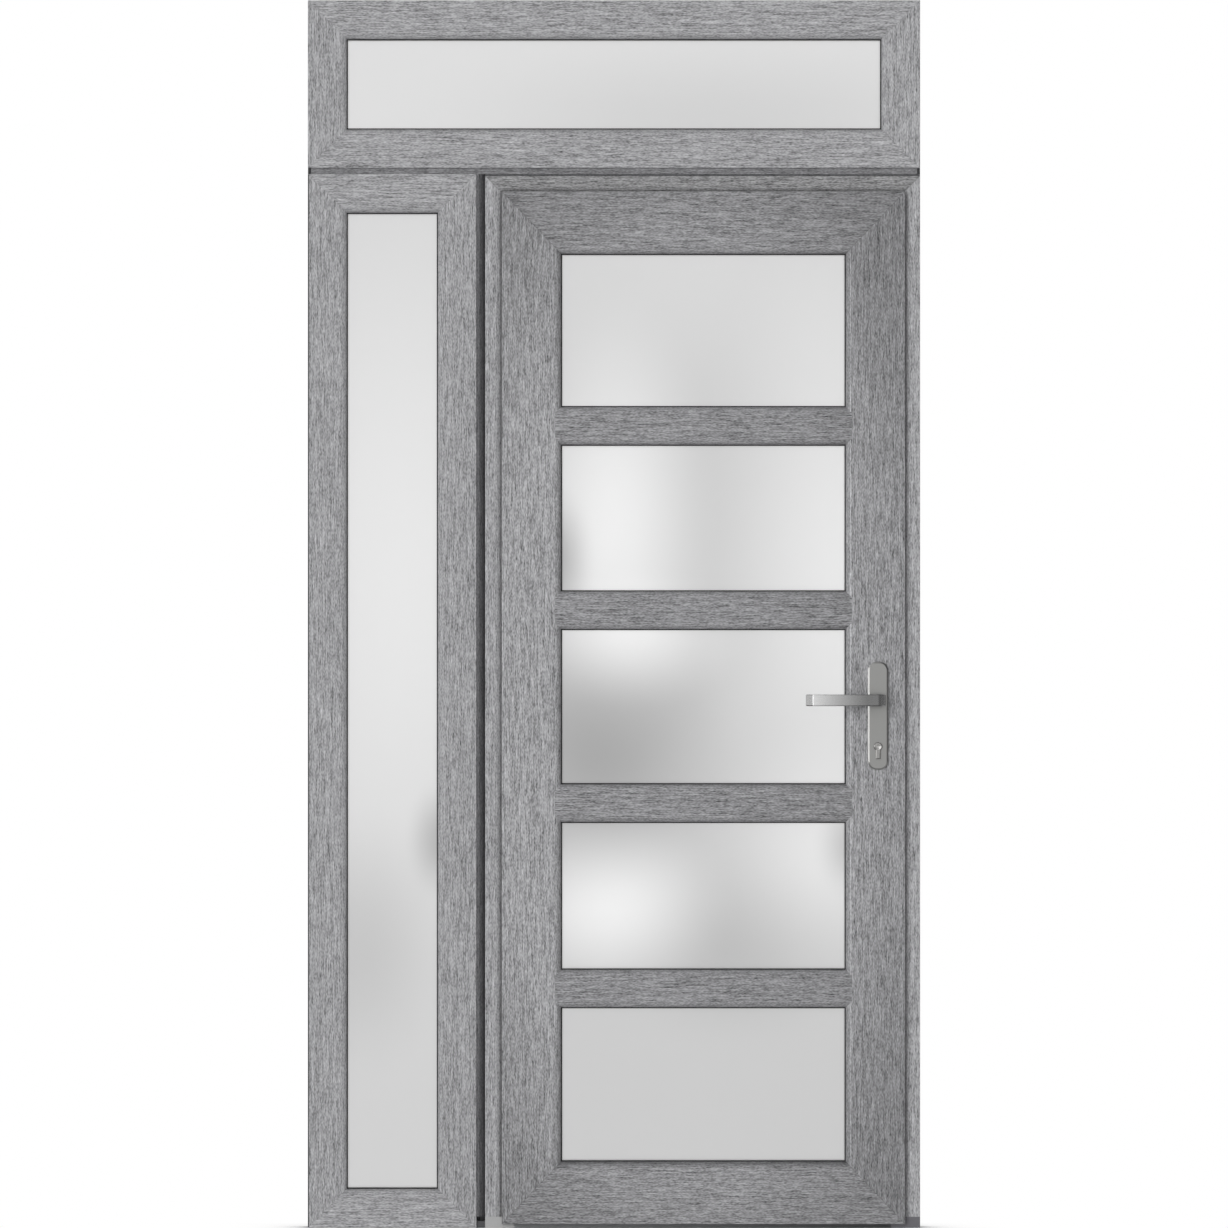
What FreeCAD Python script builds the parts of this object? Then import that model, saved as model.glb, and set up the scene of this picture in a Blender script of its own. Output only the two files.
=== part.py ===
import FreeCAD, Part
import math
import os
import re

import Sketcher
from FreeCAD import Placement, Rotation, Vector

# Entrance door set: a glazed out-swing leaf, a sidelight on its left and a top light over both.
# Millimetres. X runs to the right seen from outside, Y into the building, Z up.
# The origin lies on the underside of the threshold, at mid width and mid frame depth.

SIZES = {
    # whole unit
    "unit_width": 1216,
    "unit_height": 2438,
    "transom_height": 333,
    "sidelight_width": 335,
    "mullion_width": 17,
    "mullion_nose": 6,
    "mullion_notch": 40,
    "mullion_foot_height": 13,
    "coupler_height": 12,
    "coupler_recess": 7,
    "packer_height": 4,
    "packer_recess": 9,
    # frame profiles
    "frame_depth": 70,
    "fixed_face": 77,
    "fixed_round": 13,
    "outer_round": 1.5,
    "flange_thick": 15,
    "rebate_height": 20,
    "jamb_face": 34,
    "jamb_round": 14,
    "stop_thick": 14,
    "stop_face": 58,
    # glazing
    "glass_thick": 24,
    "glass_edge": 15,
    "gasket_thick": 3,
    "gasket_foot": 6,
    "gasket_show": 2,
    "bead_setback": 2,
    "bead_foot": 5,
    "bead_nose": 6,
    "bead_joint": 0.2,
    # threshold
    "threshold_height": 22,
    "threshold_stop": 35,
    "threshold_nose": 5,
    # leaf
    "hinge_margin": 33,
    "lock_margin": 30,
    "head_margin": 31,
    "leaf_floor_gap": 8,
    "leaf_depth": 70,
    "lip_thick": 14,
    "lip_width": 20,
    "lip_gap": 6,
    "stile_face": 118,
    "rail_face": 124,
    "leaf_round": 12,
    "bar_face": 75,
    "pane_1": 304,
    "pane_2": 291,
    "pane_3": 308,
    "pane_4": 293,
    "pane_5": 306,
    "seal_thick": 1,
    "seal_width": 4,
    "seal_inset": 2,
    "seal_margin": 0.5,
    # handle and lock
    "handle_height": 1048,
    "handle_backset": 54,
    "cylinder_drop": 92,
    "cylinder_bore": 8.5,
    "cylinder_tail": 24.5,
    "cylinder_web": 5,
    "cylinder_proud": 3.5,
    "key_slot_width": 2.4,
    "key_slot_height": 9,
    "key_slot_depth": 6,
    "plate_width": 40,
    "plate_length": 214,
    "plate_drop": 31,
    "plate_corner": 17,
    "plate_thick": 9,
    "plate_edge": 3,
    "lever_reach": 60,
    "lever_length": 144,
    "lever_heel": 14,
    "lever_height": 23,
    "lever_thick": 10,
    "lever_tip": 15,
    "lever_return": 8,
    "lever_end": 9,
    "lever_gusset": 6,
    "lever_edge": 2,
    "neck_size": 9,
    "spindle_size": 8,
    "fit_gap": 0.3,
    "faceplate_width": 16,
    "faceplate_thick": 3,
    "faceplate_end": 250,
    "faceplate_inset": 34,
    "latch_height": 34,
    "latch_width": 12,
    "latch_proud": 8,
    "strike_length": 180,
    "strike_width": 22,
    "strike_thick": 2,
    "strike_end": 400,
    # concealed hinges
    "hinge_end": 245,
    "hinge_radius": 30,
    "hinge_arm_thick": 6,
    "hinge_arm_height": 84,
    "hinge_block_height": 120,
    "hinge_travel_angle": 45,
    "hinge_grip_angle": 7,
    "hinge_frame_deep": 31,
    "hinge_frame_front": 16,
    "hinge_frame_back": 37,
    "hinge_leaf_deep": 15,
    "hinge_leaf_front": 8,
    "hinge_leaf_back": 29,
}

doc = FreeCAD.newDocument("entrance_door")
sheet = doc.addObject("Spreadsheet::Sheet", "dims")
for row, (alias, size) in enumerate(SIZES.items(), start=1):
    sheet.set(f"A{row}", alias)
    sheet.set(f"B{row}", str(size))
    sheet.setAlias(f"B{row}", alias)
doc.recompute()

# Where things stand, as expressions of the sizes above.
UNIT_LEFT = "(-unit_width / 2)"
UNIT_RIGHT = "(unit_width / 2)"
TRANSOM_FLOOR = "(unit_height - transom_height)"
SIDELIGHT_TOP = "(unit_height - transom_height - coupler_height)"
SIDELIGHT_RIGHT = "(sidelight_width - unit_width / 2)"
DOOR_LEFT = "(sidelight_width + mullion_width - unit_width / 2)"
DOOR_RIGHT = UNIT_RIGHT
DOOR_TOP = "(unit_height - transom_height - coupler_height - packer_height)"
FRAME_FRONT = "(-frame_depth / 2)"
FRAME_BACK = "(frame_depth / 2)"
STOP_FRONT = "(frame_depth / 2 - stop_thick)"
LEAF_LEFT = f"({DOOR_LEFT} + hinge_margin)"
LEAF_RIGHT = f"({DOOR_RIGHT} - lock_margin)"
LEAF_TOP = f"({DOOR_TOP} - head_margin)"
LEAF_FLOOR = "leaf_floor_gap"
LEAF_FRONT = f"({FRAME_FRONT} - lip_gap - lip_thick)"
LEAF_BACK = f"({LEAF_FRONT} + leaf_depth)"
LIP_BACK = f"({FRAME_FRONT} - lip_gap)"
LEAF_WIDTH = f"({LEAF_RIGHT} - {LEAF_LEFT})"
LEAF_HEIGHT = f"({LEAF_TOP} - {LEAF_FLOOR})"
HANDLE_X = f"({LEAF_RIGHT} - handle_backset)"
CYLINDER_Z = "(handle_height - cylinder_drop)"
HINGES = (
    f"({LEAF_FLOOR} + hinge_end)",
    f"(({LEAF_FLOOR} + {LEAF_TOP}) / 2)",
    f"({LEAF_TOP} - hinge_end)",
)

# The glazed height of the leaf is shared out between the panes; these are the middles of the bars.
PANES = [f"pane_{count}" for count in range(1, 6)]
GLAZED = f"({LEAF_HEIGHT} - 2 * rail_face - {len(PANES) - 1} * bar_face)"
BARS = [
    f"({LEAF_TOP} - rail_face - {GLAZED} * ({' + '.join(PANES[:count])}) / ({' + '.join(PANES)})"
    f" - {count - 0.5} * bar_face)"
    for count in range(1, len(PANES))
]

# How far each side of a frame is turned about Y, so that its section's height points inwards.
TURNS = {"sill": 0, "left": 90, "head": 180, "right": -90}


def formula(text):
    """The expression with every size name pointed at its cell."""
    return re.sub(r"[a-z_]\w*", lambda m: f"dims.{m[0]}" if m[0] in SIZES else m[0], str(text))


def number(text):
    """The expression's value in millimetres or degrees."""
    value = sheet.evalExpression(formula(text))
    return float(getattr(value, "Value", value))


def place(thing, x="0", y="0", z="0", turn=0, axis=Vector(0, 1, 0)):
    """Stands a thing at a point given by expressions, turned about an axis."""
    thing.Placement = Placement(Vector(), Rotation(axis, turn))
    for letter, text in zip("xyz", (x, y, z)):
        thing.setExpression(f"Placement.Base.{letter}", formula(text))


def new_body(name):
    """An empty body with its own label."""
    body = doc.addObject("PartDesign::Body", name)
    body.Label = name
    return body


def sketch_on(body, role, lift="0"):
    """An empty sketch on one of the body's origin planes, lifted off it by an expression."""
    sketch = body.newObject("Sketcher::SketchObject", "Sketch")
    plane = next(p for p in body.Origin.OriginFeatures if p.Role == role)
    sketch.AttachmentSupport = [(plane, "")]
    sketch.MapMode = "FlatFace"
    if lift != "0":
        sketch.setExpression("AttachmentOffset.Base.z", formula(lift))
    return sketch


def bind(sketch, kind, place_on, text):
    """A sketch dimension driven by an expression."""
    index = sketch.addConstraint(Sketcher.Constraint(kind, *place_on, number(text)))
    sketch.setExpression(f"Constraints[{index}]", formula(text))


def outward_arc(start, end, radius):
    """The short counter-clockwise arc of a radius between two points."""
    chord = end - start
    reach = math.sqrt(max(radius**2 - chord.Length**2 / 4, 0))
    centre = (start + end) / 2 + Vector(-chord.y, chord.x, 0) / chord.Length * reach
    first, last = start - centre, end - centre
    ring = Part.Circle(centre, Vector(0, 0, 1), radius)
    return Part.ArcOfCircle(ring, math.atan2(first.y, first.x), math.atan2(last.y, last.x))


def outline(sketch, points):
    """A closed counter-clockwise outline. A point is a pair of expressions; a third one makes the side
    that starts there an outward arc of that radius."""
    first = sketch.GeometryCount
    count = len(points)
    spots = [Vector(number(p[0]), number(p[1]), 0) for p in points]
    for i, point in enumerate(points):
        start, end = spots[i], spots[(i + 1) % count]
        if len(point) == 3:
            sketch.addGeometry(outward_arc(start, end, number(point[2])))
        else:
            sketch.addGeometry(Part.LineSegment(start, end))
    for i, point in enumerate(points):
        after = first + (i + 1) % count
        sketch.addConstraint(Sketcher.Constraint("Coincident", first + i, 2, after, 1))
        bind(sketch, "DistanceX", (-1, 1, first + i, 1), point[0])
        bind(sketch, "DistanceY", (-1, 1, first + i, 1), point[1])
        if len(point) == 3:
            bind(sketch, "Radius", (first + i,), point[2])


def circle(sketch, x, y, radius):
    """A circle at a point given by expressions."""
    spot = Vector(number(x), number(y), 0)
    index = sketch.addGeometry(Part.Circle(spot, Vector(0, 0, 1), number(radius)))
    bind(sketch, "DistanceX", (-1, 1, index, 3), x)
    bind(sketch, "DistanceY", (-1, 1, index, 3), y)
    bind(sketch, "Radius", (index,), radius)


def rectangle(x0, x1, y0, y1):
    """The corners of a rectangle, counter-clockwise."""
    return [(x0, y0), (x1, y0), (x1, y1), (x0, y1)]


def rounded(x0, x1, y0, y1, r):
    """The outline of a rectangle with rounded corners."""
    return [
        (f"{x0} + {r}", y0),
        (f"{x1} - {r}", y0, r),
        (x1, f"{y0} + {r}"),
        (x1, f"{y1} - {r}", r),
        (f"{x1} - {r}", y1),
        (f"{x0} + {r}", y1, r),
        (x0, f"{y1} - {r}"),
        (x0, f"{y0} + {r}", r),
    ]


def pad(body, sketch, length, reverse=False, both_ways=False):
    """Raises a sketch off its plane."""
    feature = body.newObject("PartDesign::Pad", "Pad")
    feature.Profile = sketch
    feature.Reversed = reverse
    feature.SideType = "Symmetric" if both_ways else "One side"
    feature.setExpression("Length", formula(length))
    doc.recompute()
    return feature


def pocket(body, sketch, depth=None, reverse=False):
    """Cuts a sketch into the body, right through where no depth is given."""
    before = body.Shape.Volume
    feature = body.newObject("PartDesign::Pocket", "Pocket")
    feature.Profile = sketch
    feature.Reversed = reverse
    if depth is None:
        feature.Type = "ThroughAll"
    else:
        feature.setExpression("Length", formula(depth))
    doc.recompute()
    if body.Shape.Volume > before - 0.5:
        raise RuntimeError(f"a pocket in {body.Label} cut nothing")
    return feature


def ease(body, chosen, size, kind="Fillet"):
    """Rounds or bevels the edges of the body's last feature that a test on an edge picks."""
    base = body.Tip
    names = [f"Edge{i}" for i, edge in enumerate(base.Shape.Edges, start=1) if chosen(edge)]
    feature = body.newObject(f"PartDesign::{kind}", kind)
    feature.Base = (base, names)
    feature.setExpression("Radius" if kind == "Fillet" else "Size", formula(size))
    doc.recompute()
    return feature


def box(x0, x1, y0, y1, z0, z1, name="Box"):
    """A plain block between expressions."""
    block = doc.addObject("Part::Box", name)
    for side, low, high in (("Length", x0, x1), ("Width", y0, y1), ("Height", z0, z1)):
        block.setExpression(side, formula(f"{high} - ({low})"))
    place(block, x0, y0, z0)
    return block


def cut(base, tool, name="Cut"):
    """One shape less another."""
    feature = doc.addObject("Part::Cut", name)
    feature.Base = base
    feature.Tool = tool
    return feature


def together(name, pieces):
    """Separate solids handed over as one sub-part."""
    group = doc.addObject("Part::Compound", name)
    group.Links = pieces
    group.Label = name
    return group


def flat_ring(left, right, floor, top, front, back, outwards, inwards):
    """A rectangular ring around an opening, reaching a distance out from its edge and a distance in."""
    outer = box(
        f"{left} - {outwards}",
        f"{right} + {outwards}",
        front,
        back,
        f"{floor} - {outwards}",
        f"{top} + {outwards}",
    )
    inner = box(
        f"{left} + {inwards}",
        f"{right} - {inwards}",
        front,
        back,
        f"{floor} + {inwards}",
        f"{top} - {inwards}",
    )
    return cut(outer, inner)


def bar_along(name, section, length, start=None, end=None):
    """A bar along X with a section of depth and height. Its ends are sawn off along a slope given as a pair
    of legs, along and across the bar."""
    body = new_body(name)
    sketch = sketch_on(body, "YZ_Plane")
    outline(sketch, section)
    pad(body, sketch, length)
    saw = sketch_on(body, "XZ_Plane")
    if start:
        outline(saw, [("0", "0"), start, ("0", start[1])])
    if end:
        outline(saw, [(length, "0"), (length, end[1]), (f"{length} - {end[0]}", end[1])])
    if start or end:
        pocket(body, saw)
    return body


def four_sides(names, section, faces, left, right, floor, top, front, joint="0"):
    """Four mitred bars around an opening: sill, left, head, right. Faces are the heights of the upright and
    the level sections; joint is the play left at each mitred end."""
    upright, level = faces
    width = f"({right} - ({left}) - 2 * {joint})"
    height = f"({top} - ({floor}) - 2 * {joint})"
    corners = {
        "sill": (f"{left} + {joint}", floor),
        "left": (left, f"{top} - {joint}"),
        "head": (f"{right} - {joint}", top),
        "right": (right, f"{floor} + {joint}"),
    }
    bars = {}
    for side, name in zip(TURNS, names):
        lying = side in ("sill", "head")
        own, other = (level, upright) if lying else (upright, level)
        length = width if lying else height
        bars[side] = bar_along(name, section(own), length, (other, own), (other, own))
        x, z = corners[side]
        place(bars[side], x, front, z, TURNS[side])
    return bars


def fixed_section(face):
    """The section of a fixed light's frame: front flange, glazing rebate, full depth at the outer edge."""
    return [
        ("outer_round", "0"),
        ("frame_depth", "0"),
        ("frame_depth", f"{face} - rebate_height"),
        ("flange_thick", f"{face} - rebate_height"),
        ("flange_thick", face),
        ("fixed_round", face, "fixed_round"),
        ("0", f"{face} - fixed_round"),
        ("0", "outer_round", "outer_round"),
    ]


def leaf_section(face):
    """The section of a leaf's stile or rail: overlapping lip outside, glazing rebate inside."""
    return [
        ("outer_round", "0"),
        ("lip_thick", "0"),
        ("lip_thick", "lip_width"),
        ("leaf_depth", "lip_width"),
        ("leaf_depth", f"{face} - rebate_height"),
        ("flange_thick", f"{face} - rebate_height"),
        ("flange_thick", face),
        ("leaf_round", face, "leaf_round"),
        ("0", f"{face} - leaf_round"),
        ("0", "outer_round", "outer_round"),
    ]


def door_section(face):
    """The section of the door frame: front face rounded off to the rebate, stop along the back."""
    return [
        ("outer_round", "0"),
        ("frame_depth", "0"),
        ("frame_depth", "stop_face"),
        ("frame_depth - stop_thick", "stop_face"),
        ("frame_depth - stop_thick", face),
        ("jamb_round", face, "jamb_round"),
        ("0", f"{face} - jamb_round"),
        ("0", "outer_round", "outer_round"),
    ]


def bead_section(depth):
    """The section of a glazing bead with a quarter-round back."""
    return [
        ("0", "0"),
        (depth, "0"),
        (depth, "bead_foot", "rebate_height"),
        ("bead_nose", "rebate_height"),
        ("0", "rebate_height"),
    ]


def glazing(left, right, floor, top, front, depth):
    """Glass, beads and gaskets of one opening, whose edges are the sight lines of its frame."""
    glass_front = f"({front} + flange_thick + gasket_thick)"
    glass_back = f"({glass_front} + glass_thick)"
    bead_front = f"({glass_back} + gasket_thick)"
    bead_depth = f"({front} + {depth} - bead_setback - {bead_front})"
    pane = box(
        f"{left} - glass_edge",
        f"{right} + glass_edge",
        glass_front,
        glass_back,
        f"{floor} - glass_edge",
        f"{top} + glass_edge",
        "Glass",
    )
    beads = four_sides(
        ["Bead"] * 4,
        lambda face: bead_section(bead_depth),
        ("rebate_height", "rebate_height"),
        f"({left} - rebate_height)",
        f"({right} + rebate_height)",
        f"({floor} - rebate_height)",
        f"({top} + rebate_height)",
        bead_front,
        "bead_joint",
    )
    edges = (left, right, floor, top)
    front_ring = flat_ring(*edges, f"{glass_front} - gasket_thick", glass_front, "gasket_foot", "gasket_show")
    back_ring = flat_ring(*edges, glass_back, bead_front, "gasket_foot", "gasket_show")
    return pane, list(beads.values()), [front_ring, back_ring]


nodes = []

# Top light and sidelight: four mitred bars each, glass, beads and gaskets.
FIXED_LIGHTS = {
    "transom": (UNIT_LEFT, UNIT_RIGHT, TRANSOM_FLOOR, "unit_height"),
    "sidelight": (UNIT_LEFT, SIDELIGHT_RIGHT, "0", SIDELIGHT_TOP),
}
for light, (left, right, floor, top) in FIXED_LIGHTS.items():
    labels = [f"{light}_sill", f"{light}_left_jamb", f"{light}_head", f"{light}_right_jamb"]
    faces = ("fixed_face", "fixed_face")
    bars = four_sides(labels, fixed_section, faces, left, right, floor, top, FRAME_FRONT)
    nodes += bars.values()
    pane, beads, rings = glazing(
        f"({left} + fixed_face)",
        f"({right} - fixed_face)",
        f"({floor} + fixed_face)",
        f"({top} - fixed_face)",
        FRAME_FRONT,
        "frame_depth",
    )
    pane.Label = f"{light}_glass"
    nodes += [pane, together(f"{light}_beads", beads), together(f"{light}_gaskets", rings)]

# Joining pieces: the recessed strips between the lights and the door frame. The upright one has a
# quarter-round front and is cut back over its foot.
coupler = box(
    UNIT_LEFT,
    UNIT_RIGHT,
    f"{FRAME_FRONT} + coupler_recess",
    f"{FRAME_BACK} - coupler_recess",
    SIDELIGHT_TOP,
    TRANSOM_FLOOR,
    "transom_coupler",
)
packer = box(
    DOOR_LEFT,
    DOOR_RIGHT,
    f"{FRAME_FRONT} + packer_recess",
    f"{FRAME_BACK} - coupler_recess",
    DOOR_TOP,
    SIDELIGHT_TOP,
    "head_packer",
)
mullion = new_body("mullion_coupler")
plan = sketch_on(mullion, "XY_Plane")
outline(
    plan,
    [
        ("0", "mullion_nose", "mullion_width"),
        ("mullion_width", "mullion_nose + mullion_width"),
        ("mullion_width", "frame_depth - coupler_recess"),
        ("0", "frame_depth - coupler_recess"),
    ],
)
pad(mullion, plan, f"{SIDELIGHT_TOP} - mullion_foot_height")
notch = sketch_on(mullion, "XZ_Plane")
outline(notch, rectangle("0", "mullion_width", "0", "threshold_height - mullion_foot_height"))
pocket(mullion, notch, "mullion_notch")
place(mullion, SIDELIGHT_RIGHT, FRAME_FRONT, "mullion_foot_height")
foot = box(
    SIDELIGHT_RIGHT,
    DOOR_LEFT,
    f"{FRAME_FRONT} + coupler_recess",
    f"{FRAME_BACK} - coupler_recess",
    "0",
    "mullion_foot_height",
    "mullion_foot",
)
nodes += [coupler, packer, mullion, foot]

# Door frame: mitred head and jambs with a stop at the back, standing on the threshold's end blocks.
mitre = ("stop_face", "stop_face")
door_width = f"({DOOR_RIGHT} - {DOOR_LEFT})"
jamb_length = f"({DOOR_TOP} - threshold_height)"
door_head = bar_along("door_head", door_section("jamb_face"), door_width, mitre, mitre)
place(door_head, DOOR_RIGHT, FRAME_FRONT, DOOR_TOP, TURNS["head"])
hinge_jamb = bar_along("hinge_jamb", door_section("jamb_face"), jamb_length, start=mitre)
place(hinge_jamb, DOOR_LEFT, FRAME_FRONT, DOOR_TOP, TURNS["left"])
lock_jamb = bar_along("lock_jamb", door_section("jamb_face"), jamb_length, end=mitre)
place(lock_jamb, DOOR_RIGHT, FRAME_FRONT, "threshold_height", TURNS["right"])

# Recesses for the hinges' frame halves in the rebate face of the hinge jamb.
recess = sketch_on(hinge_jamb, "XY_Plane", "jamb_face")
for hinge in HINGES:
    middle = f"{DOOR_TOP} - {hinge}"
    outline(
        recess,
        rectangle(
            f"{middle} - hinge_block_height / 2",
            f"{middle} + hinge_block_height / 2",
            "hinge_frame_front - lip_gap",
            "hinge_frame_back - lip_gap",
        ),
    )
pocket(hinge_jamb, recess, "hinge_frame_deep")

# Strike plates let in flush with the rebate face of the lock jamb.
STRIKES = (f"({LEAF_FLOOR} + strike_end)", "handle_height", f"({LEAF_TOP} - strike_end)")
STRIKE_FRONT = "(faceplate_inset - lip_thick - lip_gap + faceplate_width / 2 - strike_width / 2)"
recess = sketch_on(lock_jamb, "XY_Plane", "jamb_face")
strikes = []
for strike in STRIKES:
    middle = f"{strike} - threshold_height"
    outline(
        recess,
        rectangle(
            f"{middle} - strike_length / 2",
            f"{middle} + strike_length / 2",
            STRIKE_FRONT,
            f"{STRIKE_FRONT} + strike_width",
        ),
    )
    strikes.append(
        box(
            f"{DOOR_RIGHT} - jamb_face",
            f"{DOOR_RIGHT} - jamb_face + strike_thick",
            f"{FRAME_FRONT} + {STRIKE_FRONT}",
            f"{FRAME_FRONT} + {STRIKE_FRONT} + strike_width",
            f"{strike} - strike_length / 2",
            f"{strike} + strike_length / 2",
            "Strike",
        )
    )
pocket(lock_jamb, recess, "strike_thick")

# Threshold: a low aluminium section with a sloped nose and a stop at the back, between two end blocks.
threshold = bar_along(
    "threshold",
    [
        ("0", "0"),
        ("frame_depth", "0"),
        ("frame_depth", "threshold_stop"),
        ("frame_depth - stop_thick", "threshold_stop"),
        ("frame_depth - stop_thick", "threshold_height"),
        ("threshold_nose", "threshold_height"),
        ("0", "threshold_height - threshold_nose"),
    ],
    f"{door_width} - 2 * stop_face",
)
place(threshold, f"{DOOR_LEFT} + stop_face", FRAME_FRONT, "0")
end_left = box(
    DOOR_LEFT,
    f"{DOOR_LEFT} + stop_face",
    FRAME_FRONT,
    FRAME_BACK,
    "0",
    "threshold_height",
    "threshold_end_left",
)
end_right = box(
    f"{DOOR_RIGHT} - stop_face",
    DOOR_RIGHT,
    FRAME_FRONT,
    FRAME_BACK,
    "0",
    "threshold_height",
    "threshold_end_right",
)
frame_seal = flat_ring(
    f"({DOOR_LEFT} + stop_face)",
    f"({DOOR_RIGHT} - stop_face)",
    "threshold_stop",
    f"({DOOR_TOP} - stop_face)",
    f"{STOP_FRONT} - seal_thick",
    STOP_FRONT,
    "(seal_width + seal_margin)",
    "(-seal_margin)",
)
frame_seal.Label = "frame_seal"
nodes += [door_head, hinge_jamb, lock_jamb, threshold, end_left, end_right, frame_seal]
nodes.append(together("strike_plates", strikes))

# Leaf: mitred stiles and rails with a lip over the frame.
leaf = four_sides(
    ["leaf_bottom_rail", "leaf_hinge_stile", "leaf_top_rail", "leaf_lock_stile"],
    leaf_section,
    ("stile_face", "rail_face"),
    LEAF_LEFT,
    LEAF_RIGHT,
    LEAF_FLOOR,
    LEAF_TOP,
    LEAF_FRONT,
)
hinge_stile, lock_stile = leaf["left"], leaf["right"]


def bar_notches(stile, middles):
    """Mitred notches in a stile's front flange, where the glazing bars run into it."""
    sketch = sketch_on(stile, "XZ_Plane")
    for middle in middles:
        low, high = f"{middle} - bar_face / 2", f"{middle} + bar_face / 2"
        outline(
            sketch,
            [
                (low, "stile_face"),
                (f"{low} + leaf_round", "stile_face - leaf_round"),
                (f"{high} - leaf_round", "stile_face - leaf_round"),
                (high, "stile_face"),
            ],
        )
    pocket(stile, sketch, "flange_thick")


bar_notches(hinge_stile, [f"{LEAF_TOP} - {bar}" for bar in BARS])
bar_notches(lock_stile, [f"{bar} - {LEAF_FLOOR}" for bar in BARS])

# Recesses for the hinges' leaf halves in the edge of the hinge stile.
recess = sketch_on(hinge_stile, "XY_Plane", "lip_width")
for hinge in HINGES:
    middle = f"{LEAF_TOP} - {hinge}"
    outline(
        recess,
        rectangle(
            f"{middle} - hinge_block_height / 2",
            f"{middle} + hinge_block_height / 2",
            "lip_thick - hinge_leaf_front",
            "lip_thick + hinge_leaf_back",
        ),
    )
pocket(hinge_stile, recess, "hinge_leaf_deep", reverse=True)

# Holes for spindle and cylinder through the lock stile, and the groove for the lock's faceplate.
holes = sketch_on(lock_stile, "XZ_Plane")
circle(holes, f"handle_height - {LEAF_FLOOR}", "handle_backset", "spindle_size")
pocket(lock_stile, holes)
holes = sketch_on(lock_stile, "XZ_Plane")
cylinder_middle = f"({CYLINDER_Z} - {LEAF_FLOOR})"
outline(
    holes,
    rectangle(
        f"{cylinder_middle} - cylinder_tail - fit_gap",
        f"{cylinder_middle} + cylinder_bore + fit_gap",
        "handle_backset - cylinder_bore - fit_gap",
        "handle_backset + cylinder_bore + fit_gap",
    ),
)
pocket(lock_stile, holes)
groove = sketch_on(lock_stile, "XY_Plane", "lip_width")
outline(
    groove,
    rectangle(
        "faceplate_end",
        f"{LEAF_HEIGHT} - faceplate_end",
        "faceplate_inset",
        "faceplate_inset + faceplate_width",
    ),
)
pocket(lock_stile, groove, "faceplate_thick", reverse=True)
nodes += leaf.values()

# Glazing bars: front flanges mitred into the stiles' rounded edges, webs running on to the rebates.
CLEAR = f"({LEAF_WIDTH} - 2 * stile_face)"
BAR_LENGTH = f"({CLEAR} + 2 * rebate_height)"
BAR_SECTION = [
    ("leaf_round", "0"),
    ("flange_thick", "0"),
    ("flange_thick", "rebate_height"),
    ("leaf_depth", "rebate_height"),
    ("leaf_depth", "bar_face - rebate_height"),
    ("flange_thick", "bar_face - rebate_height"),
    ("flange_thick", "bar_face"),
    ("leaf_round", "bar_face", "leaf_round"),
    ("0", "bar_face - leaf_round"),
    ("0", "leaf_round", "leaf_round"),
]
glazing_bars = []
for height in BARS:
    bar = bar_along("Bar", BAR_SECTION, BAR_LENGTH)
    ends = sketch_on(bar, "XZ_Plane")
    outline(
        ends,
        [
            ("0", "0"),
            ("rebate_height", "0"),
            ("rebate_height - leaf_round", "leaf_round"),
            ("rebate_height - leaf_round", "bar_face - leaf_round"),
            ("rebate_height", "bar_face"),
            ("0", "bar_face"),
        ],
    )
    far = f"({BAR_LENGTH} - rebate_height)"
    outline(
        ends,
        [
            (far, "0"),
            (BAR_LENGTH, "0"),
            (BAR_LENGTH, "bar_face"),
            (far, "bar_face"),
            (f"{far} + leaf_round", "bar_face - leaf_round"),
            (f"{far} + leaf_round", "leaf_round"),
        ],
    )
    pocket(bar, ends, "flange_thick")
    place(bar, f"{LEAF_LEFT} + stile_face - rebate_height", LEAF_FRONT, f"{height} - bar_face / 2")
    glazing_bars.append(bar)
nodes.append(together("glazing_bars", glazing_bars))

# Five glass units in the leaf with their beads and gaskets.
tops = [f"({LEAF_TOP} - rail_face)"] + [f"({bar} - bar_face / 2)" for bar in BARS]
floors = [f"({bar} + bar_face / 2)" for bar in BARS] + [f"({LEAF_FLOOR} + rail_face)"]
leaf_panes, leaf_beads, leaf_rings = [], [], []
for floor, top in zip(floors, tops):
    pane, beads, rings = glazing(
        f"({LEAF_LEFT} + stile_face)", f"({LEAF_RIGHT} - stile_face)", floor, top, LEAF_FRONT, "leaf_depth"
    )
    leaf_panes.append(pane)
    leaf_beads += beads
    leaf_rings += rings
leaf_seal = flat_ring(
    f"({LEAF_LEFT} + seal_inset)",
    f"({LEAF_RIGHT} - seal_inset)",
    f"({LEAF_FLOOR} + seal_inset)",
    f"({LEAF_TOP} - seal_inset)",
    LIP_BACK,
    f"{LIP_BACK} + seal_thick",
    "0",
    "seal_width",
)
leaf_seal.Label = "leaf_seal"
nodes += [together("leaf_glass", leaf_panes), together("leaf_beads", leaf_beads)]
nodes += [together("leaf_gaskets", leaf_rings), leaf_seal]

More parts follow.
